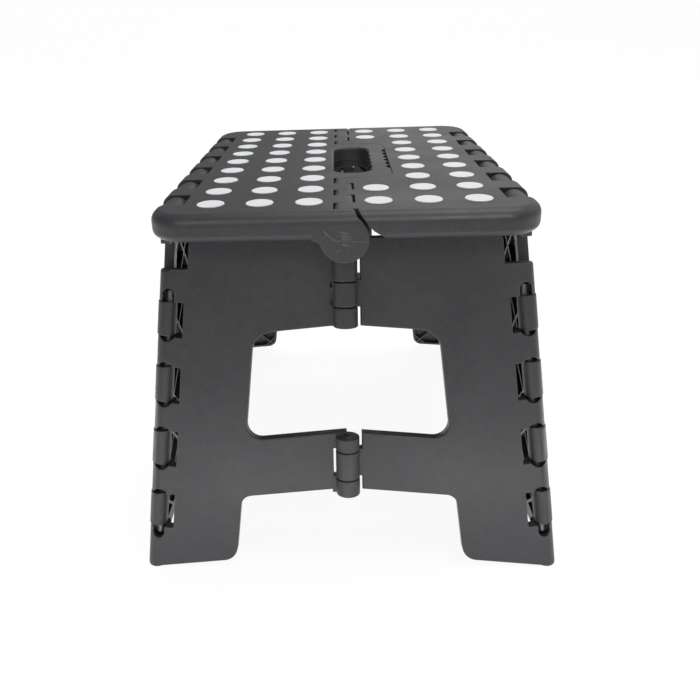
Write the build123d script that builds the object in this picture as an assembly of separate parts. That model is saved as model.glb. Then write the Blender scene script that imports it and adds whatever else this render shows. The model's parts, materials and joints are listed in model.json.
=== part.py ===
"""Folding step stool: two hinged top halves, two leg panels and four folding end panels.

Millimetres. X runs to the right of the end that faces the viewer, Y runs to the back, Z is up.
The floor is z = 0 and the stool stands open over the origin.
"""
import os
from math import cos, radians, sin, tan

from build123d import *

# Overall size
HEIGHT = 229.0
TOP_W = 217.0
TOP_D = 280.0
TOP_T = 15.4
BASE_X = 131.0
BASE_Y = 155.5
SPLAY = 6.5
LEAN = 11.3
FLOOR_GAP = 0.6

# Hinge lines
AXIS_IN = 6.5
LEG_AXIS_Z = 220.5
TOP_AXIS_Z = 207.5
CENTRE_OUT = 0.8

# Walls of the mouldings
SKIN = 2.4
PANEL_T = 6.2
RIM = 2.2
RIB = 1.7
RIB_ANGLE = 45.0
END_RIB_PITCH = 26.0
LEG_RIB_PITCH = 30.0
EDGE_R = 0.9
KNUCKLE_SOFT = 0.7
OVER = 9.0
FAR = 300.0

# Top halves
TOP_SKIN = 3.2
TOP_CORNER = 22.0
BORDER = 5.5
CROWN = 2.0
NOSE_UP = 6.5
NOSE_LOW = 4.5
SEAM = 0.45
LOBE_Z = 214.4
LOBE_R = 13.6
LOBE_IN = 131.5
LOBE_BLEND = 5.0
LOBE_SOFT = 0.9
CUT_X = 7.7
CUT_SLOPE = 0.8
CUT_KNEE = 219.0
CUT_LOW_SLOPE = 1.5
FINGER = 6.0
FINGER_STEPS = (131.0, 117.7, 101.4, 88.5, 72.5, 58.0)
TOP_BARREL_R = 9.0
BARREL_GAP = 0.2
BARREL_EASE = 0.6
CELL_X = (14.0, 38.0, 61.5, 85.0)
CELL_Y = (-134.0, -100.5, -67.0, -33.5, 0.0, 33.5, 67.0, 100.5, 134.0)
CELL_RIB = 2.0
LOOP_X = 32.0
LOOP_R = 12.0
SCALLOPS = (-27.5, -16.5, -5.5, 5.5, 16.5, 27.5)
SCALLOP_R = 6.5
SCALLOP_OUT = 3.9
STRIP_X = 6.8
TIP_R = 3.0
GRIP_X = (-6.0, 19.0)
GRIP_Y = 43.0
GRIP_R = 10.0
GRIP_LIP = 9.5
GRIP_UNDER = 2.5
GRIP_SOFT = 1.5
GRIP_WAVES = (-24.0, -12.0, 0.0, 12.0, 24.0)
GRIP_WAVE_R = 7.0
GRIP_WAVE_OUT = 1.4
KNUCKLE_PITCH = 38.8
KNUCKLE_W = 20.0
KNUCKLE_R = 7.8
KNUCKLE_SHIFT = -6.5
WINDOW_W = 22.0
WINDOW_IN = 8.8

# Anti-slip dots
DOT_R = 7.9
DOT_T = 1.2
DOT_RISE = 0.4
DOT_ROUND = 0.35
DOT_COLS = (19.5, 47.4, 75.2)
DOT_PITCH = 28.8
DOT_ROWS = (-4, -3, -2, -1, 0, 1, 2, 3, 4)
DOT_INNER_ROWS = (-4, -3, 3, 4)

# End panels
EDGE_RISE = 5.0
STRIP_W = 51.7
PANEL_TOP = 207.5
DIP_Z = 198.0
DIP_W = 10.5
NOTCH_Z = 191.0
NOTCH_W = 10.5
ARCH_TOP = 156.6
BAR_TOP = 90.4
BAR_LOW = 53.8
ARCH_R = 14.0
BAR_R = 9.0
BAR_LOW_R = 7.5
FOOT_R = 9.5
SHOULDER_R = 3.0
HINGE_STRIP = 11.5
CORNER_KNUCKLES = ((27.5, 49.2), (68.7, 90.3), (109.3, 131.0), (150.1, 170.5))
CORNER_GAP = 0.5
SLOT_IN = 9.5
PEEP_H = 8.4
PEEP_W = 7.2
SCOOP_R = 4.7
SCOOP_H = 3.0
BARREL_SOFT = 1.6
BARREL_DROP = 1.8
FOOT_SOFT = 3.0
LEFT_KNUCKLES = ((51.3, 61.7), (80.0, 88.4), (156.0, 168.0), (183.3, 197.6))
RIGHT_KNUCKLES = ((62.2, 79.5), (168.6, 182.8))
CENTRE_R = 7.3
CENTRE_SLOT = 8.8
CENTRE_GAP = 0.6

# Rods and their bores
CORNER_ROD_R = 2.75
LEG_ROD_R = 3.0
TOP_ROD_R = 2.5
PIN_R = 2.0
FIT = 0.05
PIN_FREE_R = 5.7
CORNER_ROD_Z = (20.0, 177.6)
LEG_ROD_Y = 112.0
LOW_PIN_Z = (51.8, 87.9)
HIGH_PIN_Z = (156.5, 197.1)
PIN_OVER = 1.0
PIN_ROUND = 0.6

# Leg panels
LEG_TOP_GAP = 11.6
LEG_EDGE = 7.3
LEG_KNUCKLE_R = 7.0
LEG_KNUCKLE_IN = 4.2
LEG_ARCH_H = 60.0
LEG_ARCH_R = 22.0
LEG_STRIP = 7.0
NECK_IN = 3.0
NECK_SET = 0.6
PAD_IN = 8.0
PAD_W = 24.0
PAD_H = 10.0
PAD_WALL = 1.4

S = radians(SPLAY)
T = radians(LEAN)
RISE = tan(radians(EDGE_RISE))
UNDER = HEIGHT - TOP_T
LEG_AXIS_X = BASE_X - AXIS_IN / cos(S) - LEG_AXIS_Z * tan(S)

# Outer faces: origin on the floor line, local x along the panel, local y up it, local z outward
END_FACE = Plane(origin=(0, -BASE_Y, 0), x_dir=(1, 0, 0), z_dir=(0, -cos(T), sin(T)))
LEG_FACE = Plane(origin=(BASE_X, 0, 0), x_dir=(0, 1, 0), z_dir=(cos(S), 0, sin(S)))

# Corner hinge line at the front right, from the floor up
CORNER_FOOT = Vector(BASE_X - AXIS_IN / cos(S), AXIS_IN / cos(T) - BASE_Y, 0)
CORNER_DIR = Vector(-tan(S), tan(T), 1).normalized()
CORNER_END = Plane(origin=CORNER_FOOT, x_dir=CORNER_DIR.cross(END_FACE.z_dir), z_dir=END_FACE.z_dir)
CORNER_LEG = Plane(origin=CORNER_FOOT, x_dir=CORNER_DIR.cross(LEG_FACE.z_dir), z_dir=LEG_FACE.z_dir)


def box(x0, x1, y0, y1, z0, z1):
    """Box between two corners."""
    middle = Pos((x0 + x1) / 2, (y0 + y1) / 2, (z0 + z1) / 2)
    return middle * Box(x1 - x0, y1 - y0, z1 - z0)


def rod(start, end, radius):
    """Cylinder from one point to another."""
    start = Vector(start)
    along = Vector(end) - start
    return extrude(Plane(origin=start, z_dir=along) * Circle(radius), along.length)


def soft_rod(start, end, radius, soft):
    """Cylinder from one point to another with rounded ends."""
    plain = rod(start, end, radius)
    return fillet(plain.edges().filter_by(GeomType.CIRCLE), soft)


def below(height):
    """Everything under a height above the floor."""
    return box(-FAR, FAR, -FAR, FAR, -FAR, height)


def along_corner(height):
    """Distance along the corner line at a height above the floor."""
    return height / CORNER_DIR.Z


def corner_point(height):
    """Point of the corner line at a height above the floor."""
    return CORNER_FOOT + CORNER_DIR * along_corner(height)


def corner_bore():
    """Bore for the corner rod, a little longer than the rod."""
    low = corner_point(CORNER_ROD_Z[0] - PIN_OVER)
    high = corner_point(CORNER_ROD_Z[1] + PIN_OVER)
    return rod(low, high, CORNER_ROD_R + FIT)


def centre_point(height):
    """Point of the end panels' centre hinge line at a height above the floor."""
    return Vector(0, -BASE_Y - CENTRE_OUT / cos(T) + height * tan(T), height)


def round_at(face, point, radius):
    """Round the corner of a flat outline nearest to a point."""
    corner = face.vertices().sort_by_distance(Vector(*point, 0))[0]
    return fillet(corner, radius)


def cross_ribs(width, height, pitch):
    """Flat strips crossing both ways over an area that starts at the floor line."""
    strips = []
    steps = int((width + height) / pitch)
    for turn in (RIB_ANGLE, -RIB_ANGLE):
        for step in range(-steps, steps + 1):
            strips.append(Pos(step * pitch, height / 2) * Rot(0, 0, turn) * Rectangle(RIB, 3 * height))
    return strips


def ribbed(outline, ribs, keep, soft_edges):
    """Moulded panel behind a flat outline: skin, rim and ribs, with its face edges softened."""
    body = extrude(outline, -PANEL_T)
    face_edges = body.faces().sort_by(Axis.Z)[-1].edges()
    body = fillet([e for e in face_edges if soft_edges(e.center())], EDGE_R)
    hollow = offset(outline, -RIM, kind=Kind.INTERSECTION)
    hollow = hollow - ribs - keep
    pocket = extrude(Pos(0, 0, -SKIN) * hollow, -PANEL_T)
    return body - pocket


def rod_windows():
    """Outlines cut in the corner barrel where the rod shows, tall at its ends and shallow at each knuckle."""
    outlines = []
    top = along_corner(CORNER_KNUCKLES[-1][1])
    bottom = along_corner(CORNER_KNUCKLES[0][0])
    straight = PEEP_H - PEEP_W / 2
    for start, way in ((top, 1), (bottom, -1)):
        outlines.append(Pos(0, start + way * straight / 2) * Rectangle(PEEP_W, straight))
        outlines.append(Pos(0, start + way * straight) * Circle(PEEP_W / 2))
    inset = SCOOP_R - SCOOP_H - CORNER_GAP
    for low, high in CORNER_KNUCKLES:
        if high != CORNER_KNUCKLES[-1][1]:
            outlines.append(Pos(0, along_corner(high) - inset) * Circle(SCOOP_R))
        if low != CORNER_KNUCKLES[0][0]:
            outlines.append(Pos(0, along_corner(low) + inset) * Circle(SCOOP_R))
    return outlines


def end_panel(own, other, near, bore_r):
    """Front end panel of the right side, with its own and its neighbour's centre knuckles."""
    corner_u = END_FACE.to_local_coords(CORNER_FOOT).X
    corner_v = END_FACE.to_local_coords(CORNER_FOOT).Y
    slope = cos(T) * tan(S)

    def edge_u(v, inside=0.0):
        return corner_u - (v - corner_v) * slope - inside / cos(S)

    def level(height, u):
        return height / cos(T) - u * RISE

    def cross(height, inside):
        u = edge_u(height / cos(T), inside)
        v = level(height, u)
        return (edge_u(v, inside), v)

    foot_v = FLOOR_GAP / cos(T)
    foot_in = (edge_u(foot_v, STRIP_W), foot_v + STRIP_W * RISE)
    notch_v = NOTCH_Z / cos(T)
    top_v = PANEL_TOP / cos(T)
    top_in = (edge_u(top_v, NOTCH_W), top_v)
    arch_corner = cross(ARCH_TOP, STRIP_W)
    bar_corner = cross(BAR_TOP, STRIP_W)
    low_corner = cross(BAR_LOW, STRIP_W)
    points = [
        (edge_u(foot_v), foot_v),
        (edge_u(notch_v), notch_v),
        (edge_u(notch_v, NOTCH_W), notch_v),
        top_in,
        (DIP_W, top_v),
        (DIP_W, DIP_Z / cos(T)),
        (near, DIP_Z / cos(T)),
        (near, level(ARCH_TOP, near)),
        arch_corner,
        bar_corner,
        (near, level(BAR_TOP, near)),
        (near, level(BAR_LOW, near)),
        low_corner,
        foot_in,
    ]
    outline = make_face(Polyline(*points, close=True))
    outline = round_at(outline, arch_corner, ARCH_R)
    outline = round_at(outline, bar_corner, BAR_R)
    outline = round_at(outline, low_corner, BAR_LOW_R)
    outline = round_at(outline, foot_in, FOOT_R)
    outline = round_at(outline, top_in, SHOULDER_R)

    # Solid strips behind the two hinge edges
    corner_strip = make_face(Polyline(
        (edge_u(0, HINGE_STRIP), 0), (edge_u(0) + OVER, 0),
        (edge_u(HEIGHT) + OVER, HEIGHT), (edge_u(HEIGHT, HINGE_STRIP), HEIGHT), close=True))
    centre_strip = Pos(0, HEIGHT / 2) * Rectangle(2 * HINGE_STRIP, HEIGHT)
    ribs = cross_ribs(BASE_X, HEIGHT, END_RIB_PITCH)
    on_corner = lambda c: abs(c.X - edge_u(c.Y)) < 1.0
    body = ribbed(outline, ribs, [corner_strip, centre_strip], lambda c: not on_corner(c))
    body = END_FACE.location * body

    # Corner barrel, its slots for the leg knuckles, the peep windows and the rod bore
    body += soft_rod(corner_point(-AXIS_IN), corner_point(NOTCH_Z - BARREL_DROP), AXIS_IN, BARREL_SOFT)
    for low, high in CORNER_KNUCKLES:
        body -= CORNER_END.location * box(
            -SLOT_IN, OVER, along_corner(low) - CORNER_GAP, along_corner(high) + CORNER_GAP, -OVER, OVER)
    for cutter in rod_windows():
        body -= CORNER_END.location * extrude(cutter, OVER)
    body -= corner_bore()

    # Centre knuckles, the slots for the neighbour's knuckles and the pin bores
    for low, high in other:
        a = low / cos(T)
        b = high / cos(T)
        body -= END_FACE.location * box(
            -CENTRE_SLOT, CENTRE_SLOT, a - CENTRE_GAP, b + CENTRE_GAP, -2 * OVER, 2 * OVER)
    for low, high in own:
        neck = box(0, CENTRE_SLOT + EDGE_R, low / cos(T), high / cos(T), -PANEL_T, 0)
        body += END_FACE.location * neck
        body += soft_rod(centre_point(low), centre_point(high), CENTRE_R, KNUCKLE_SOFT)
    for low, high in (LOW_PIN_Z, HIGH_PIN_Z):
        body -= rod(centre_point(low - PIN_OVER), centre_point(high + PIN_OVER), bore_r)
    # Rounded toe at the outer bottom corner
    toe_u = BASE_X - FOOT_SOFT
    toe_v = foot_v + FOOT_SOFT
    toe = Pos(toe_u + FAR / 2, toe_v - FAR / 2) * Rectangle(FAR, FAR) - Pos(toe_u, toe_v) * Circle(FOOT_SOFT)
    body -= END_FACE.location * extrude(toe, 2 * OVER, both=True)
    return body - below(FLOOR_GAP)


def leg_panel():
    """Leg panel of the right side, with its corner and top knuckles."""
    corner = LEG_FACE.to_local_coords(CORNER_FOOT)
    slope = cos(S) * tan(T)

    def edge_u(v, inside):
        return -corner.X - (v - corner.Y) * slope - inside / cos(T)

    foot_v = FLOOR_GAP / cos(S) - PIN_OVER
    top_v = (LEG_AXIS_Z - LEG_TOP_GAP) / cos(S)
    arch_v = LEG_ARCH_H / cos(S)
    arch_foot = edge_u(foot_v, STRIP_W)
    arch_head = edge_u(arch_v, STRIP_W)
    right = [(edge_u(foot_v, LEG_EDGE), foot_v), (edge_u(top_v, LEG_EDGE), top_v)]
    left = [(-u, v) for u, v in reversed(right)]
    arch = [(-arch_foot, foot_v), (-arch_head, arch_v), (arch_head, arch_v), (arch_foot, foot_v)]
    outline = make_face(Polyline(*right, *left, *arch, close=True))
    outline = round_at(outline, arch[1], LEG_ARCH_R)
    outline = round_at(outline, arch[2], LEG_ARCH_R)

    top_strip = Pos(0, top_v) * Rectangle(FAR, 2 * OVER)
    feet = []
    edges = []
    for side in (-1, 1):
        middle = Pos(side * (arch_foot + PAD_IN + PAD_W / 2), 0)
        feet.append(middle * Rectangle(PAD_W + PAD_H, 2 * (PAD_H + NECK_IN)))
        edges.append(make_face(Polyline(
            (side * edge_u(0, LEG_EDGE + LEG_STRIP), 0), (side * edge_u(0, -OVER), 0),
            (side * edge_u(HEIGHT, -OVER), HEIGHT), (side * edge_u(HEIGHT, LEG_EDGE + LEG_STRIP), HEIGHT),
            close=True)))
    ribs = cross_ribs(2 * BASE_Y, HEIGHT, LEG_RIB_PITCH)
    body = ribbed(outline, ribs, [top_strip, *feet, *edges], lambda c: True)
    body = LEG_FACE.location * body

    # Corner knuckles, the same at the back, each thinner on the side of the end panel
    shift = CORNER_END.x_dir * (LEG_KNUCKLE_R - LEG_KNUCKLE_IN)
    knuckles = []
    for low, high in CORNER_KNUCKLES:
        a = along_corner(low)
        b = along_corner(high)
        neck = CORNER_LEG.location * box(0, LEG_EDGE + NECK_IN, a, b, AXIS_IN - PANEL_T, AXIS_IN)
        turn = soft_rod(corner_point(low), corner_point(high), LEG_KNUCKLE_R, KNUCKLE_SOFT)
        turn &= rod(corner_point(low) + shift, corner_point(high) + shift, LEG_KNUCKLE_R)
        knuckles.append(turn + neck)
    for knuckle in knuckles:
        knuckle = knuckle - corner_bore()
        body += knuckle
        body += mirror(knuckle, about=Plane.XZ)

    # Knuckles up through the windows of the top
    rise = LEG_FACE.to_local_coords(Vector(LEG_AXIS_X, 0, LEG_AXIS_Z)).Y
    for y in knuckle_rows():
        near = y - KNUCKLE_W / 2
        far = y + KNUCKLE_W / 2
        body += LEG_FACE.location * box(near, far, top_v - NECK_IN, rise, -PANEL_T, -NECK_SET)
        ends = [(LEG_AXIS_X, y_end, LEG_AXIS_Z) for y_end in (near, far)]
        body += soft_rod(*ends, KNUCKLE_R, KNUCKLE_SOFT) - below(UNDER)
    body -= rod((LEG_AXIS_X, -TOP_D / 2, LEG_AXIS_Z), (LEG_AXIS_X, TOP_D / 2, LEG_AXIS_Z), LEG_ROD_R + FIT)

    # Sockets for the foot pads
    for pad in foot_pads(0.0):
        body -= pad
    return body - below(FLOOR_GAP)


def knuckle_rows():
    """Middle of each leg knuckle along the top's edge."""
    return [KNUCKLE_PITCH * (step + 0.5) + KNUCKLE_SHIFT for step in range(-3, 3)]


def foot_pads(ease):
    """The two rubber pads of the right leg."""
    foot = -LEG_FACE.to_local_coords(CORNER_FOOT).X - STRIP_W / cos(T)
    pads = []
    for side in (-1, 1):
        low = side * (foot + PAD_IN + PAD_W / 2) - PAD_W / 2
        pad = LEG_FACE.location * box(
            low + ease, low + PAD_W - ease, -OVER, PAD_H - ease, PAD_WALL + ease - PANEL_T, -PAD_WALL - ease)
        pads.append(pad - below(0))
    return pads


def top_plate(under):
    """Whole top down to a height, with its sloping border and rounded nose, before it is split."""
    shoulder = HEIGHT - CROWN
    outer = Pos(0, 0, shoulder) * RectangleRounded(TOP_W, TOP_D, TOP_CORNER)
    inner = Pos(0, 0, HEIGHT) * RectangleRounded(TOP_W - 2 * BORDER, TOP_D - 2 * BORDER, TOP_CORNER - BORDER)
    plate = extrude(outer, under - shoulder) + loft([outer, inner], ruled=True)
    nose = [e for e in plate.edges() if abs(e.center().Z - shoulder) < SEAM]
    plate = fillet(nose, NOSE_UP)
    return fillet(plate.faces().sort_by(Axis.Z)[0].edges(), NOSE_LOW)


def left_region(ease):
    """Area of the top that belongs to the left half, seen from above."""
    path = [(-TOP_W, -TOP_D), (STRIP_X, -TOP_D), (STRIP_X, -FINGER_STEPS[0])]
    side = -FINGER
    for outer, inner in zip(FINGER_STEPS, FINGER_STEPS[1:]):
        path += [(side, -outer), (side, -inner)]
        side = -side
    path += [(LOOP_X, -FINGER_STEPS[-1])]
    path += [(x, -y) for x, y in reversed(path)]
    area = make_face(Polyline(*path, close=True))
    for end in (-1, 1):
        area = round_at(area, (LOOP_X, end * FINGER_STEPS[-1]), LOOP_R)
    return offset(area, ease, kind=Kind.INTERSECTION) if ease else area


def barrel(near, far, radius, height=TOP_AXIS_Z):
    """Round length along the top's centre line, at the front and at the back."""
    front = rod((0, -far, height), (0, -near, height), radius)
    back = rod((0, near, height), (0, far, height), radius)
    return [front, back]


def soften_tips(half, side):
    """Round the upper edge of the finger tips that reach over the centre line."""
    tips = [e for e in half.edges().filter_by(Axis.Y)
            if abs(e.center().Z - HEIGHT) < SEAM and abs(e.center().X - side * FINGER) < 2 * SEAM]
    return fillet(tips, TIP_R)


def upright(x, y, radius):
    """Round cutter through the top."""
    return rod((x, y, UNDER - OVER), (x, y, HEIGHT + OVER), radius)


def end_lobe():
    """Round lobe under the nose at the front of the left half, blended into its lower edge."""
    drop = LOBE_Z - (UNDER - LOBE_BLEND)
    reach = LOBE_R + LOBE_BLEND
    across = (reach ** 2 - drop ** 2) ** 0.5
    on_lobe = (-across * LOBE_R / reach, LOBE_Z - drop * LOBE_R / reach)
    on_nose = (-across, UNDER)
    hollow = Pos(-across, UNDER - LOBE_BLEND) * Circle(LOBE_BLEND)
    web = make_face(Polyline(on_nose, on_lobe, (0, LOBE_Z), (-across, UNDER + NOSE_LOW), close=True))
    outline = Pos(0, LOBE_Z) * Circle(LOBE_R) + web - hollow
    front = Plane(origin=(0, -TOP_D / 2, 0), x_dir=(1, 0, 0), z_dir=(0, -1, 0))
    lobe = extrude(front * outline, LOBE_IN - TOP_D / 2)
    rim = lobe.faces().sort_by(Axis.Y)[0].edges().filter_by(GeomType.CIRCLE)
    lobe = fillet(rim, LOBE_SOFT)
    return lobe & top_plate(LOBE_Z - 2 * LOBE_R)


def lobe_cut():
    """Slanted end of the right half beside the front lobe."""
    high = HEIGHT + OVER
    low = UNDER - OVER
    upper = CUT_X - OVER * CUT_SLOPE
    knee = CUT_X + (HEIGHT - CUT_KNEE) * CUT_SLOPE
    lower = knee + (CUT_KNEE - low) * CUT_LOW_SLOPE
    outline = make_face(Polyline(
        (-FAR, high), (upper, high), (knee, CUT_KNEE), (lower, low), (-FAR, low), close=True))
    front = Plane(origin=(0, -TOP_D, 0), x_dir=(1, 0, 0), z_dir=(0, -1, 0))
    return extrude(front * outline, LOBE_IN - SEAM - TOP_D)


def dot_places(side):
    """Middle of every anti-slip dot on one half of the top."""
    places = []
    for column, x in enumerate(DOT_COLS):
        rows = DOT_INNER_ROWS if side > 0 and column == 0 else DOT_ROWS
        places += [(side * x, row * DOT_PITCH) for row in rows]
    return places


def top_cells(side):
    """Outlines of the hollows between the ribs under one half of the top."""
    cells = []
    for column, (x0, x1) in enumerate(zip(CELL_X, CELL_X[1:])):
        for y0, y1 in zip(CELL_Y, CELL_Y[1:]):
            beside_loop = side > 0 and column == 0 and abs(y0 + y1) < 2 * CELL_Y[-3]
            if not beside_loop:
                middle = Pos(side * (x0 + x1) / 2, (y0 + y1) / 2)
                cells.append(middle * RectangleRounded(x1 - x0 - CELL_RIB, y1 - y0 - CELL_RIB, CELL_RIB))
    return cells


def finish_top(half, side):
    """Leg windows, rod bores, rib hollows and dot recesses of one half of the top."""
    for y in knuckle_rows():
        edge = Pos(side * (LEG_AXIS_X - WINDOW_IN + TOP_T), y, HEIGHT - TOP_T / 2)
        half -= edge * Box(2 * TOP_T, WINDOW_W, 2 * TOP_T)
    near, far = KNUCKLE_SHIFT - LEG_ROD_Y, KNUCKLE_SHIFT + LEG_ROD_Y
    half -= rod((side * LEG_AXIS_X, near, LEG_AXIS_Z), (side * LEG_AXIS_X, far, LEG_AXIS_Z), LEG_ROD_R + FIT)
    for bore in barrel(FINGER_STEPS[-1] - PIN_OVER, FINGER_STEPS[2] + PIN_OVER, TOP_ROD_R + FIT):
        half -= bore
    half -= extrude(Pos(0, 0, UNDER - OVER) * (Sketch() + top_cells(side)), TOP_T - TOP_SKIN + OVER)
    recess = Sketch() + [Pos(x, y) * Circle(DOT_R) for x, y in dot_places(side)]
    return half - extrude(Pos(0, 0, HEIGHT - DOT_T) * recess, 2 * DOT_T)


def in_grip(point):
    """Whether a point lies on the edge of the grip opening, seen from above."""
    return GRIP_X[0] - SEAM < point.X < GRIP_X[1] + SEAM and abs(point.Y) < GRIP_Y + SEAM


def left_top():
    """Left half of the top, with the end lobes and the carrying loop."""
    half = top_plate(UNDER) & extrude(Pos(0, 0, UNDER - TOP_T) * left_region(0), 3 * TOP_T)
    half = soften_tips(half, 1)
    for y in SCALLOPS:
        half -= upright(LOOP_X + SCALLOP_OUT, y, SCALLOP_R)
    half += end_lobe()
    half += mirror(end_lobe(), about=Plane.XZ)
    for ring in barrel(FINGER_STEPS[4] + BARREL_GAP, FINGER_STEPS[3] - BARREL_GAP, TOP_BARREL_R):
        half += ring
    for near, far in ((FINGER_STEPS[5], FINGER_STEPS[4]), (FINGER_STEPS[3], FINGER_STEPS[2])):
        for ring in barrel(near - BARREL_GAP, far + BARREL_GAP, TOP_BARREL_R + BARREL_EASE):
            half -= ring
    grip = RectangleRounded(GRIP_X[1] - GRIP_X[0], 2 * GRIP_Y, GRIP_R)
    grip = Pos(sum(GRIP_X) / 2, 0, UNDER - TOP_T) * grip
    half -= extrude(grip, 3 * TOP_T)
    half -= extrude(offset(grip, GRIP_UNDER), 2 * TOP_T - GRIP_LIP)
    rim = [e for e in half.edges() if abs(e.center().Z - HEIGHT) < SEAM and in_grip(e.center())]
    half = fillet(rim, GRIP_SOFT)
    for y in GRIP_WAVES:
        half -= upright(GRIP_X[1] + GRIP_WAVE_OUT - GRIP_WAVE_R, y, GRIP_WAVE_R)
    return finish_top(half, -1)


def right_top():
    """Right half of the top, cut back round the loop and the lobes."""
    half = top_plate(UNDER) - extrude(Pos(0, 0, UNDER - TOP_T) * left_region(SEAM), 3 * TOP_T)
    half = soften_tips(half, -1)
    for near, far in ((FINGER_STEPS[5], FINGER_STEPS[4]), (FINGER_STEPS[3], FINGER_STEPS[2])):
        for ring in barrel(near + BARREL_GAP, far - BARREL_GAP, TOP_BARREL_R):
            half += ring
    near, far = FINGER_STEPS[4], FINGER_STEPS[3]
    for ring in barrel(near - BARREL_GAP, far + BARREL_GAP, TOP_BARREL_R + BARREL_EASE):
        half -= ring
    cut = lobe_cut()
    half -= [cut, mirror(cut, about=Plane.XZ)]
    return finish_top(half, 1)


def dots(side):
    """Anti-slip dots of one half of the top."""
    one = extrude(Circle(DOT_R - FIT), DOT_T + DOT_RISE)
    one = fillet(one.faces().sort_by(Axis.Z)[-1].edges(), DOT_ROUND)
    return Compound([Pos(x, y, HEIGHT - DOT_T) * one for x, y in dot_places(side)])


def pin(start, end, radius):
    """Rod with well rounded ends."""
    return soft_rod(start, end, radius, PIN_ROUND * radius)


def half_turn(shape):
    """The same moulding at the other end of the stool."""
    return Rot(0, 0, 180) * shape


def build():
    """Every piece of the stool, by name."""
    right_end = end_panel(RIGHT_KNUCKLES, LEFT_KNUCKLES, CENTRE_SLOT, PIN_FREE_R)
    left_end = mirror(end_panel(LEFT_KNUCKLES, RIGHT_KNUCKLES, SEAM, PIN_R + FIT), about=Plane.YZ)
    leg = leg_panel()
    pads = Compound(foot_pads(FIT))
    corner_rod = pin(corner_point(CORNER_ROD_Z[0]), corner_point(CORNER_ROD_Z[1]), CORNER_ROD_R)
    left_corner_rod = mirror(corner_rod, about=Plane.YZ)
    low_pin = pin(centre_point(LOW_PIN_Z[0]), centre_point(LOW_PIN_Z[1]), PIN_R)
    high_pin = pin(centre_point(HIGH_PIN_Z[0]), centre_point(HIGH_PIN_Z[1]), PIN_R)
    rod_end = LEG_ROD_Y - PIN_OVER
    near, far = KNUCKLE_SHIFT - rod_end, KNUCKLE_SHIFT + rod_end
    leg_rod = pin((LEG_AXIS_X, near, LEG_AXIS_Z), (LEG_AXIS_X, far, LEG_AXIS_Z), LEG_ROD_R)
    top_rod = pin((0, -FINGER_STEPS[2], TOP_AXIS_Z), (0, -FINGER_STEPS[-1], TOP_AXIS_Z), TOP_ROD_R)
    return {
        "left_top_panel": left_top(),
        "right_top_panel": right_top(),
        "left_top_dots": dots(-1),
        "right_top_dots": dots(1),
        "left_leg_panel": mirror(leg, about=Plane.YZ),
        "right_leg_panel": leg,
        "left_leg_foot_pads": half_turn(pads),
        "right_leg_foot_pads": pads,
        "front_left_panel": left_end,
        "front_right_panel": right_end,
        "back_left_panel": half_turn(right_end),
        "back_right_panel": half_turn(left_end),
        "front_left_corner_rod": left_corner_rod,
        "front_right_corner_rod": corner_rod,
        "back_left_corner_rod": half_turn(corner_rod),
        "back_right_corner_rod": half_turn(left_corner_rod),
        "left_leg_top_rod": mirror(leg_rod, about=Plane.YZ),
        "right_leg_top_rod": leg_rod,
        "front_top_rod": top_rod,
        "back_top_rod": half_turn(top_rod),
        "front_low_pin": low_pin,
        "front_high_pin": high_pin,
        "back_low_pin": half_turn(low_pin),
        "back_high_pin": half_turn(high_pin),
    }


os.makedirs("parts", exist_ok=True)
for name, shape in build().items():
    shape.label = name
    export_step(shape, f"parts/{name}.step")
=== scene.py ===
"""Folding step stool in charcoal polypropylene with pale rubber dots, open on a pale studio floor."""
import json
from math import atan2, cos, pi, radians

import bmesh
import bpy
from mathutils import Matrix, Vector


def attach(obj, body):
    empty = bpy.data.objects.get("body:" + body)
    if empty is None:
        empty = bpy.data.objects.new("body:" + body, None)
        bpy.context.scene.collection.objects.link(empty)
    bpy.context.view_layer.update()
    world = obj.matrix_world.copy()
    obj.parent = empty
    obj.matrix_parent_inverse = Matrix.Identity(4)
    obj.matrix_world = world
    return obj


MM = 0.001

# Camera of the photograph: place and nearest distance in metres, turns in degrees, focal length and centre
# in picture pixels, sensor width in millimetres
PICTURE = 700
CAMERA_PLACE = (-0.00182, -0.48425, 0.32821)
CAMERA_YAW = 2.640
CAMERA_DIP = 23.271
CAMERA_ROLL = -2.030
FOCAL = 674.0
OPTICAL_CENTRE = (313.61, 299.58)
SENSOR = 36
NEAREST = 0.01

# Mould marks on the end lobes, in millimetres: both ends of each mark, its width and its taper. The rounding
# is a share of the smaller of a mark's height and width.
LOBE_FACE = 140.0
LOBE_HEIGHT = 214.4
MARK_RISE = 0.12
MARK_ROUNDING = 0.42
LOBE_MARKS = (
    (-11.6, 5.6, -5.6, -0.4, 0.85, 0.9),
    (-5.8, -0.4, 12.6, -1.5, 0.5, 0.9),
    (-2.0, 4.4, 3.4, 2.7, 1.7, 0.3),
    (-1.8, 2.3, 3.9, 1.3, 1.7, 0.3),
    (-1.5, 0.6, 4.1, 0.0, 1.5, 0.3),
    (-1.1, -2.5, 3.2, -3.5, 1.6, 0.3),
    (-4.6, -7.1, -1.5, -4.6, 0.8, 0.5),
)

# Ribs behind the panels, in millimetres and degrees
RIB_MIDDLE = 114.5
RIB_WIDTH = 2.2
RIB_SINK = 0.1
END_LEAN = 11.3
END_RIB_PITCH = 26.0
LEG_LEAN = 6.5
LEG_RIB_PITCH = 30.0

# Anti-slip dots, in millimetres
DOT_FIRST = 19.5
DOT_ACROSS = 27.85
DOT_ALONG = 28.8
DOT_RADIUS = 7.85
DOT_RIM = 0.5

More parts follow.
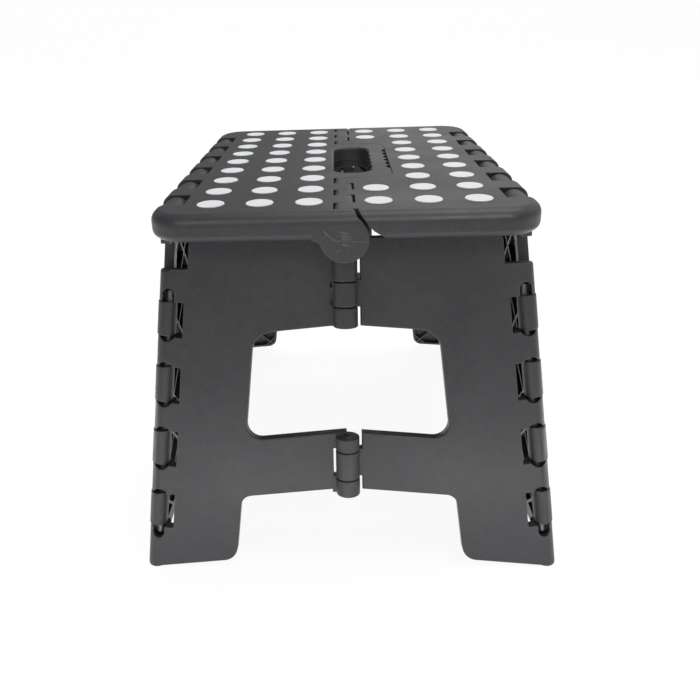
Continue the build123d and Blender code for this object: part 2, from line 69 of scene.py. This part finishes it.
# Studio paper and lights, in metres and watts. The paper gives light itself, so it stays pale.
FLOOR_SIDE = 12.0
FLOOR_NEAR = -12.0
WALL_SIDE = 4.0
SWEEP_START = 2.5
SWEEP_RADIUS = 1.5
WALL_RISE = 3.0
SWEEP_STEPS = 24
PAPER_GLOW = 0.92
ROOM_LIGHT = 0.3
TOP_MIDDLE = (0, 0, 0.2)
TREAD = (0, 0, 0.229)
NOSE = (0, -0.14, 0.22)
STRIP = (0.45, 0.03)

# Name, place, point aimed at, width and height, power, and whether it shows only as a highlight
LIGHTS = (
    ("overhead_softbox", (0.35, 0.1, 1.6), TOP_MIDDLE, (1.2, 0.9), 12, False),
    ("side_softbox", (1.2, 0.1, 1.0), TOP_MIDDLE, (0.9, 0.9), 2, False),
    ("rear_sheen", (1.1, 2.3, 1.15), TREAD, (2.6, 1.5), 7, True),
    ("right_highlight", (0.32, -1.06, 0.99), NOSE, (0.4, 0.3), 6, True),
    ("left_highlight", (-0.48, -1.06, 0.99), NOSE, (0.2, 0.3), 3, True),
    ("low_front_strip", (0, -0.31, 0.015), (0, -0.15, 0.03), STRIP, 0.2, False),
    ("low_back_strip", (0, 0.31, 0.015), (0, 0.15, 0.03), STRIP, 0.2, False),
    ("low_left_strip", (-0.3, 0, 0.015), (-0.13, 0, 0.03), STRIP, 0.2, False),
    ("low_right_strip", (0.3, 0, 0.015), (0.13, 0, 0.03), STRIP, 0.2, False),
)

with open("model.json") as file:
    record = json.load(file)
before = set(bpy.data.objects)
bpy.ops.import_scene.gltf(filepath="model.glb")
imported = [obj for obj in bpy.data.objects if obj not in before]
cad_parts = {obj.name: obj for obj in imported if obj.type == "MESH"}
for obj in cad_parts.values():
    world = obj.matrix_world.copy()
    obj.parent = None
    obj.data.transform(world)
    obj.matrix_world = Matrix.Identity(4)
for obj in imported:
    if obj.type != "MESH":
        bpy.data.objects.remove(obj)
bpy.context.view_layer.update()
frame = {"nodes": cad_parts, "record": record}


def linear(code):
    """Scene-linear colour of an sRGB hex code."""
    def channel(pair):
        value = int(pair, 16) / 255
        return value / 12.92 if value <= 0.04045 else ((value + 0.055) / 1.055) ** 2.4
    return (channel(code[1:3]), channel(code[3:5]), channel(code[5:7]), 1.0)


def add(tree, kind, inputs=None, **settings):
    """Adds a node, sets its properties and fills or links its inputs."""
    node = tree.nodes.new(kind)
    for name, value in settings.items():
        setattr(node, name, value)
    for name, value in (inputs or {}).items():
        if isinstance(value, bpy.types.NodeSocket):
            tree.links.new(value, node.inputs[name])
        else:
            node.inputs[name].default_value = value
    return node


def start_material(name):
    """Empty material with its surface shader."""
    material = bpy.data.materials.new(name)
    material.use_nodes = True
    tree = material.node_tree
    tree.nodes.clear()
    shader = add(tree, "ShaderNodeBsdfPrincipled")
    add(tree, "ShaderNodeOutputMaterial", {"Surface": shader.outputs["BSDF"]})
    return material, tree, shader


def rib_ghost(tree, place, along, lean, pitch):
    """How near a point of a panel's face is to the crossing ribs behind it, from 0 to 1."""
    spot = add(tree, "ShaderNodeSeparateXYZ", {"Vector": place})
    up = add(tree, "ShaderNodeMath", {0: spot.outputs["Z"], 1: 1 / cos(radians(lean)), 2: -RIB_MIDDLE * MM},
             operation="MULTIPLY_ADD")
    lines = []
    for way in ("ADD", "SUBTRACT"):
        slant = add(tree, "ShaderNodeMath", {0: spot.outputs[along], 1: up.outputs["Value"]}, operation=way)
        nearest = add(tree, "ShaderNodeMath", {0: slant.outputs["Value"], 1: pitch / 2 * MM,
                                               2: -pitch / 2 * MM}, operation="WRAP")
        lines.append(add(tree, "ShaderNodeMath", {0: nearest.outputs["Value"]}, operation="ABSOLUTE"))
    reach = add(tree, "ShaderNodeMath", {0: lines[0].outputs["Value"], 1: lines[1].outputs["Value"]},
                operation="MINIMUM")
    ghost = add(tree, "ShaderNodeMapRange", {"Value": reach.outputs["Value"], "From Min": RIB_WIDTH * MM,
                                             "From Max": 0.0}, interpolation_type="SMOOTHSTEP")
    return ghost.outputs["Result"]


def moulded_polypropylene(name, ribs=None):
    """Spark-eroded mould finish: even satin grain, faint flow clouding, edges painted paler as handling wear
    and as a painted highlight, fine scuffs on top.
    """
    material, tree, shader = start_material(name)
    place = add(tree, "ShaderNodeTexCoord").outputs["Object"]
    facing = add(tree, "ShaderNodeNewGeometry").outputs["Normal"]

    # Flow clouding about 45 mm across, mottling of 6 mm and pigment speckle drawn at 0.9 mm so that it shows
    cloud = add(tree, "ShaderNodeTexNoise", {"Vector": place, "Scale": 1 / (45 * MM), "Detail": 3.0,
                                             "Roughness": 0.55})
    speckle = add(tree, "ShaderNodeTexNoise", {"Vector": place, "Scale": 1 / (0.9 * MM), "Detail": 1.0})
    mottle = add(tree, "ShaderNodeTexNoise", {"Vector": place, "Scale": 1 / (6 * MM), "Detail": 3.0,
                                              "Roughness": 0.6})
    tone = add(tree, "ShaderNodeMix", {0: cloud.outputs["Fac"], 6: linear("#333436"), 7: linear("#3e3f41")},
               data_type="RGBA")
    blotch = add(tree, "ShaderNodeMapRange", {"Value": mottle.outputs["Fac"], "From Min": 0.3,
                                              "From Max": 0.7, "To Min": 0.9, "To Max": 1.1})
    fleck = add(tree, "ShaderNodeMapRange", {"Value": speckle.outputs["Fac"], "From Min": 0.3,
                                             "From Max": 0.7, "To Min": 0.88, "To Max": 1.12})
    depth = add(tree, "ShaderNodeMath", {0: blotch.outputs["Result"], 1: fleck.outputs["Result"]},
                operation="MULTIPLY")
    grained = add(tree, "ShaderNodeVectorMath", {0: tone.outputs[2], "Scale": depth.outputs["Value"]},
                  operation="SCALE")

    # Edges rounded by the mould, 0.7 mm, painted paler: partly grain rubbed by handling, partly a painted
    # highlight along the edges
    eased = add(tree, "ShaderNodeBevel", {"Radius": 0.7 * MM}, samples=6)
    turn = add(tree, "ShaderNodeVectorMath", {0: eased.outputs["Normal"], 1: facing},
               operation="DOT_PRODUCT")
    edge = add(tree, "ShaderNodeMapRange", {"Value": turn.outputs["Value"], "From Min": 0.995,
                                            "From Max": 0.86, "To Min": 0.0, "To Max": 1.0})
    patchy = add(tree, "ShaderNodeTexNoise", {"Vector": place, "Scale": 1 / (7 * MM), "Detail": 3.0})
    wear_and_highlight_share = add(tree, "ShaderNodeMapRange", {"Value": patchy.outputs["Fac"], "From Min": 0.35, "From Max": 0.7,
                                            "To Min": 0.15, "To Max": 0.75})
    # Edge share painted paler: partly handling wear, partly a painted highlight along the edges
    rubbed = add(tree, "ShaderNodeMath", {0: edge.outputs["Result"], 1: wear_and_highlight_share.outputs["Result"]},
                 operation="MULTIPLY")
    handled_and_highlit = add(tree, "ShaderNodeMix", {0: rubbed.outputs["Value"], 6: grained.outputs["Vector"],
                                          7: linear("#77787a")}, data_type="RGBA")

    # Fine scuffs along the tread, only where the surface faces up
    along = add(tree, "ShaderNodeMapping", {"Vector": place, "Rotation": (0, 0, radians(24)),
                                            "Scale": (1 / (0.7 * MM), 1 / (26 * MM), 1 / (26 * MM))})
    streak = add(tree, "ShaderNodeTexNoise", {"Vector": along.outputs["Vector"], "Scale": 1.0, "Detail": 2.0})
    line = add(tree, "ShaderNodeMapRange", {"Value": streak.outputs["Fac"], "From Min": 0.66,
                                            "From Max": 0.78, "To Min": 0.0, "To Max": 0.32})
    upward = add(tree, "ShaderNodeSeparateXYZ", {"Vector": facing})
    tread = add(tree, "ShaderNodeMapRange", {"Value": upward.outputs["Z"], "From Min": 0.9, "From Max": 0.99})
    scuff = add(tree, "ShaderNodeMath", {0: line.outputs["Result"], 1: tread.outputs["Result"]},
                operation="MULTIPLY")
    colour = add(tree, "ShaderNodeMix", {0: scuff.outputs["Value"], 6: handled_and_highlit.outputs[2],
                                         7: linear("#707173")}, data_type="RGBA")

    # Grain of the mould, drawn at 1.1 mm, over the slow sinks that ribs leave in a face
    grain = add(tree, "ShaderNodeTexNoise", {"Vector": place, "Scale": 1 / (1.1 * MM), "Detail": 2.0,
                                             "Roughness": 0.6})
    sink = add(tree, "ShaderNodeTexNoise", {"Vector": place, "Scale": 1 / (24 * MM), "Detail": 1.0})
    waved = add(tree, "ShaderNodeBump", {"Height": sink.outputs["Fac"], "Strength": 0.25,
                                         "Distance": 0.5 * MM, "Normal": eased.outputs["Normal"]})
    if ribs:
        waved = add(tree, "ShaderNodeBump", {"Height": rib_ghost(tree, place, *ribs), "Strength": 0.3,
                                             "Distance": RIB_SINK * MM, "Normal": waved.outputs["Normal"]},
                    invert=True)
    bumped = add(tree, "ShaderNodeBump", {"Height": grain.outputs["Fac"], "Strength": 0.35,
                                          "Distance": 0.06 * MM, "Normal": waved.outputs["Normal"]})
    gloss = add(tree, "ShaderNodeMapRange", {"Value": cloud.outputs["Fac"], "From Min": 0.3, "From Max": 0.7,
                                             "To Min": 0.38, "To Max": 0.5})

    tree.links.new(colour.outputs[2], shader.inputs["Base Color"])
    tree.links.new(gloss.outputs["Result"], shader.inputs["Roughness"])
    tree.links.new(bumped.outputs["Normal"], shader.inputs["Normal"])
    shader.inputs["IOR"].default_value = 1.49
    shader.inputs["Specular IOR Level"].default_value = 0.42
    return material


def pale_rubber():
    """Thermoplastic rubber moulded into the tread: matt, nearly white, a little soiled at each rim."""
    material, tree, shader = start_material("thermoplastic_rubber_pale_grey")
    place = add(tree, "ShaderNodeTexCoord").outputs["Object"]
    spot = add(tree, "ShaderNodeSeparateXYZ", {"Vector": place})

    # Distance from the middle of the nearest dot
    side = add(tree, "ShaderNodeMath", {0: spot.outputs["X"]}, operation="ABSOLUTE")
    from_first = add(tree, "ShaderNodeMath", {0: side.outputs["Value"], 1: DOT_FIRST * MM},
                     operation="SUBTRACT")
    across = add(tree, "ShaderNodeMath", {0: from_first.outputs["Value"], 1: DOT_ACROSS / 2 * MM,
                                          2: -DOT_ACROSS / 2 * MM}, operation="WRAP")
    along = add(tree, "ShaderNodeMath", {0: spot.outputs["Y"], 1: DOT_ALONG / 2 * MM, 2: -DOT_ALONG / 2 * MM},
                operation="WRAP")
    flat = add(tree, "ShaderNodeCombineXYZ", {"X": across.outputs["Value"], "Y": along.outputs["Value"]})
    reach = add(tree, "ShaderNodeVectorMath", {0: flat.outputs["Vector"]}, operation="LENGTH")
    rim = add(tree, "ShaderNodeMapRange", {"Value": reach.outputs["Value"], "From Max": DOT_RADIUS * MM,
                                           "From Min": (DOT_RADIUS - DOT_RIM) * MM})

    blotch = add(tree, "ShaderNodeTexNoise", {"Vector": place, "Scale": 1 / (9 * MM), "Detail": 4.0,
                                              "Roughness": 0.6})
    soil = add(tree, "ShaderNodeMapRange", {"Value": blotch.outputs["Fac"], "From Min": 0.3, "From Max": 0.75,
                                            "To Min": 0.0, "To Max": 0.5})
    clean = add(tree, "ShaderNodeMix", {0: soil.outputs["Result"], 6: linear("#f1f2f4"),
                                        7: linear("#e2e4e7")}, data_type="RGBA")
    grime = add(tree, "ShaderNodeMath", {0: rim.outputs["Result"], 1: 0.3}, operation="MULTIPLY")
    colour = add(tree, "ShaderNodeMix", {0: grime.outputs["Value"], 6: clean.outputs[2],
                                         7: linear("#8b8d90")}, data_type="RGBA")

    # Matt mould grain, drawn at 0.8 mm
    grain = add(tree, "ShaderNodeTexNoise", {"Vector": place, "Scale": 1 / (0.8 * MM), "Detail": 2.0})
    bumped = add(tree, "ShaderNodeBump", {"Height": grain.outputs["Fac"], "Strength": 0.3,
                                          "Distance": 0.05 * MM})
    gloss = add(tree, "ShaderNodeMapRange", {"Value": blotch.outputs["Fac"], "To Min": 0.6, "To Max": 0.78})
    tree.links.new(colour.outputs[2], shader.inputs["Base Color"])
    tree.links.new(gloss.outputs["Result"], shader.inputs["Roughness"])
    tree.links.new(bumped.outputs["Normal"], shader.inputs["Normal"])
    shader.inputs["IOR"].default_value = 1.5
    return material


def black_rubber():
    """Moulded rubber of the foot pads: matt black, greyed where it has picked up floor dust."""
    material, tree, shader = start_material("moulded_rubber_black")
    place = add(tree, "ShaderNodeTexCoord").outputs["Object"]
    dust = add(tree, "ShaderNodeTexNoise", {"Vector": place, "Scale": 1 / (4 * MM), "Detail": 4.0})
    low = add(tree, "ShaderNodeSeparateXYZ", {"Vector": place})
    near_floor = add(tree, "ShaderNodeMapRange", {"Value": low.outputs["Z"], "From Min": 3 * MM,
                                                  "From Max": 0.0})
    amount = add(tree, "ShaderNodeMath", {0: dust.outputs["Fac"], 1: near_floor.outputs["Result"]},
                 operation="MULTIPLY")
    colour = add(tree, "ShaderNodeMix", {0: amount.outputs["Value"], 6: linear("#222223"),
                                         7: linear("#5b5853")}, data_type="RGBA")
    bumped = add(tree, "ShaderNodeBump", {"Height": dust.outputs["Fac"], "Strength": 0.3,
                                          "Distance": 0.1 * MM})
    gloss = add(tree, "ShaderNodeMapRange", {"Value": dust.outputs["Fac"], "To Min": 0.7, "To Max": 0.9})
    tree.links.new(colour.outputs[2], shader.inputs["Base Color"])
    tree.links.new(gloss.outputs["Result"], shader.inputs["Roughness"])
    tree.links.new(bumped.outputs["Normal"], shader.inputs["Normal"])
    shader.inputs["IOR"].default_value = 1.52
    return material


def coated_steel():
    """Drawn rod with a thin grey coat: dull and smooth, with bare flecks where it has rubbed."""
    material, tree, shader = start_material("coated_steel_rod_grey")
    place = add(tree, "ShaderNodeTexCoord").outputs["Object"]
    fleck = add(tree, "ShaderNodeTexNoise", {"Vector": place, "Scale": 1 / (2.5 * MM), "Detail": 4.0,
                                             "Roughness": 0.65})
    bare = add(tree, "ShaderNodeMapRange", {"Value": fleck.outputs["Fac"], "From Min": 0.58, "From Max": 0.75,
                                            "To Min": 0.0, "To Max": 0.5})
    colour = add(tree, "ShaderNodeMix", {0: bare.outputs["Result"], 6: linear("#6d6e70"),
                                         7: linear("#9a9b9c")}, data_type="RGBA")
    bumped = add(tree, "ShaderNodeBump", {"Height": fleck.outputs["Fac"], "Strength": 0.2,
                                          "Distance": 0.05 * MM})
    gloss = add(tree, "ShaderNodeMapRange", {"Value": fleck.outputs["Fac"], "To Min": 0.3, "To Max": 0.5})
    tree.links.new(colour.outputs[2], shader.inputs["Base Color"])
    tree.links.new(gloss.outputs["Result"], shader.inputs["Roughness"])
    tree.links.new(bumped.outputs["Normal"], shader.inputs["Normal"])
    shader.inputs["Metallic"].default_value = 0.8
    return material


def whitened_polypropylene():
    """Polypropylene stretched white where the melt met and where the mould rubbed it."""
    material, tree, shader = start_material("stress_whitened_polypropylene")
    place = add(tree, "ShaderNodeTexCoord").outputs["Object"]
    feather = add(tree, "ShaderNodeTexNoise", {"Vector": place, "Scale": 1 / (1.5 * MM), "Detail": 3.0})
    colour = add(tree, "ShaderNodeMix", {0: feather.outputs["Fac"], 6: linear("#434446"),
                                         7: linear("#5e5f61")}, data_type="RGBA")
    tree.links.new(colour.outputs[2], shader.inputs["Base Color"])
    shader.inputs["Roughness"].default_value = 0.45
    shader.inputs["IOR"].default_value = 1.49
    return material


finishes = {
    "body": moulded_polypropylene("moulded_polypropylene_charcoal"),
    "dots": pale_rubber(),
    "pads": black_rubber(),
    "rods": coated_steel(),
}
end_finish = moulded_polypropylene("moulded_polypropylene_end_panel", ("X", END_LEAN, END_RIB_PITCH))
leg_finish = moulded_polypropylene("moulded_polypropylene_leg_panel", ("Y", LEG_LEAN, LEG_RIB_PITCH))
for subpart in frame["record"]["subparts"]:
    node = subpart["node"]
    finish = finishes[subpart["material_slot"]]
    if node.endswith("leg_panel"):
        finish = leg_finish
    elif node.startswith(("front", "back")) and node.endswith("panel"):
        finish = end_finish
    for slot in frame["nodes"][node].material_slots:
        slot.material = finish


def place_mesh(name, shape, material, body):
    """Makes an object of a finished mesh and fixes it to the part that carries it."""
    mesh = bpy.data.meshes.new(name)
    bmesh.ops.recalc_face_normals(shape, faces=shape.faces)
    shape.to_mesh(mesh)
    shape.free()
    mesh.materials.append(material)
    piece = bpy.data.objects.new(name, mesh)
    bpy.context.scene.collection.objects.link(piece)
    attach(piece, body)


def bead(shape, start, end, width, taper, rise, face):
    """Low rounded ridge on the face of a lobe, from one point to another across it, thinner at its end."""
    kept = set(shape.verts)
    along = Vector((end[0] - start[0], end[1] - start[1]))
    bar = bmesh.ops.create_cube(shape, size=1.0)["verts"]
    bmesh.ops.scale(shape, vec=(along.length, 2 * rise, width), verts=bar)
    bmesh.ops.scale(shape, vec=(1, 1, taper), verts=[vert for vert in bar if vert.co.x > 0])
    edges = list({edge for vert in bar for edge in vert.link_edges})
    soft = MARK_ROUNDING * min(2 * rise, taper * width)
    bmesh.ops.bevel(shape, geom=edges, offset=soft, affect="EDGES", segments=3, profile=0.5, material=-1)
    verts = [vert for vert in shape.verts if vert not in kept]
    lean = Matrix.Rotation(-atan2(along.y, along.x), 3, "Y")
    bmesh.ops.rotate(shape, cent=(0, 0, 0), matrix=lean, verts=verts)
    bmesh.ops.translate(shape, vec=((start[0] + end[0]) / 2, face, (start[1] + end[1]) / 2), verts=verts)


def lobe_mould_marks(name, end, material):
    """Flow line, rubbed streaks and scratch left by the mould on the round lobe at one end of the top."""
    shape = bmesh.new()
    for x0, z0, x1, z1, width, taper in LOBE_MARKS:
        start = (-end * x0 * MM, (LOBE_HEIGHT + z0) * MM)
        finish = (-end * x1 * MM, (LOBE_HEIGHT + z1) * MM)
        bead(shape, start, finish, width * MM, taper, MARK_RISE * MM, end * LOBE_FACE * MM)
    place_mesh(name, shape, material, "left_top")


mark_finish = whitened_polypropylene()
lobe_mould_marks("front_lobe_mould_marks", -1, mark_finish)
lobe_mould_marks("back_lobe_mould_marks", 1, mark_finish)


def paper_sheet(name, shape, material):
    """Stage sheet of the pale paper that the stool stands on and before."""
    bmesh.ops.recalc_face_normals(shape, faces=shape.faces)
    mesh = bpy.data.meshes.new(name)
    shape.to_mesh(mesh)
    shape.free()
    for face in mesh.polygons:
        face.use_smooth = True
    mesh.materials.append(material)
    sheet = bpy.data.objects.new(name, mesh)
    bpy.context.scene.collection.objects.link(sheet)
    return sheet


def studio_paper():
    """Pale floor, and the sweep behind it that rises into a wall."""
    material, _, shader = start_material("pale_studio_paper")
    shader.inputs["Base Color"].default_value = linear("#6a6a6a")
    shader.inputs["Roughness"].default_value = 1.0
    shader.inputs["Specular IOR Level"].default_value = 0.0
    shader.inputs["Emission Color"].default_value = (1, 1, 1, 1)
    shader.inputs["Emission Strength"].default_value = PAPER_GLOW

    floor = bmesh.new()
    bmesh.ops.create_grid(floor, x_segments=1, y_segments=1, size=1.0)
    bmesh.ops.scale(floor, vec=(FLOOR_SIDE, (SWEEP_START - FLOOR_NEAR) / 2, 1), verts=floor.verts)
    bmesh.ops.translate(floor, vec=(0, (SWEEP_START + FLOOR_NEAR) / 2, 0), verts=floor.verts)
    paper_sheet("studio_floor", floor, material)

    sweep = bmesh.new()
    turn = sweep.verts.new((-WALL_SIDE, SWEEP_START, 0))
    bmesh.ops.spin(sweep, geom=[turn], cent=(-WALL_SIDE, SWEEP_START, SWEEP_RADIUS), axis=(1, 0, 0),
                   angle=pi / 2, steps=SWEEP_STEPS, use_merge=False)
    top = max(sweep.verts, key=lambda vert: vert.co.z)
    rise = bmesh.ops.extrude_vert_indiv(sweep, verts=[top])
    bmesh.ops.translate(sweep, vec=(0, 0, WALL_RISE), verts=rise["verts"])
    made = bmesh.ops.extrude_edge_only(sweep, edges=sweep.edges[:])
    far_side = [item for item in made["geom"] if isinstance(item, bmesh.types.BMVert)]
    bmesh.ops.translate(sweep, vec=(2 * WALL_SIDE, 0, 0), verts=far_side)
    wall = paper_sheet("studio_wall", sweep, material)
    wall.visible_glossy = False


def softbox(name, place, aim, size, power, gloss_only):
    """Rectangular soft light aimed at a point, or one that shows only as a highlight."""
    data = bpy.data.lights.new(name, "AREA")
    data.shape = "RECTANGLE"
    data.size, data.size_y = size
    data.energy = power
    lamp = bpy.data.objects.new(name, data)
    lamp.location = place
    lamp.rotation_euler = (Vector(aim) - Vector(place)).to_track_quat("-Z", "Y").to_euler()
    lamp.visible_camera = False
    lamp.visible_diffuse = not gloss_only
    bpy.context.scene.collection.objects.link(lamp)


studio_paper()
for light in LIGHTS:
    softbox(*light)

world = bpy.data.worlds.new("studio")
world.use_nodes = True
room = world.node_tree.nodes["Background"]
room.inputs["Color"].default_value = (1, 1, 1, 1)
room.inputs["Strength"].default_value = ROOM_LIGHT
bpy.context.scene.world = world
bpy.context.scene.view_settings.view_transform = "Standard"


def photo_camera():
    """Camera at the photograph's place, with its off-centre framing."""
    data = bpy.data.cameras.new("photo_camera")
    data.sensor_width = SENSOR
    data.lens = FOCAL / PICTURE * SENSOR
    data.shift_x = (PICTURE / 2 - OPTICAL_CENTRE[0]) / PICTURE
    data.shift_y = (OPTICAL_CENTRE[1] - PICTURE / 2) / PICTURE
    data.clip_start = NEAREST
    camera = bpy.data.objects.new("photo_camera", data)
    turn = Matrix.Rotation(radians(CAMERA_YAW), 4, "Z") @ Matrix.Rotation(radians(90 - CAMERA_DIP), 4, "X")
    tilt = Matrix.Rotation(radians(CAMERA_ROLL), 4, "Z")
    camera.matrix_world = Matrix.Translation(CAMERA_PLACE) @ turn @ tilt
    bpy.context.scene.collection.objects.link(camera)
    bpy.context.scene.camera = camera


photo_camera()
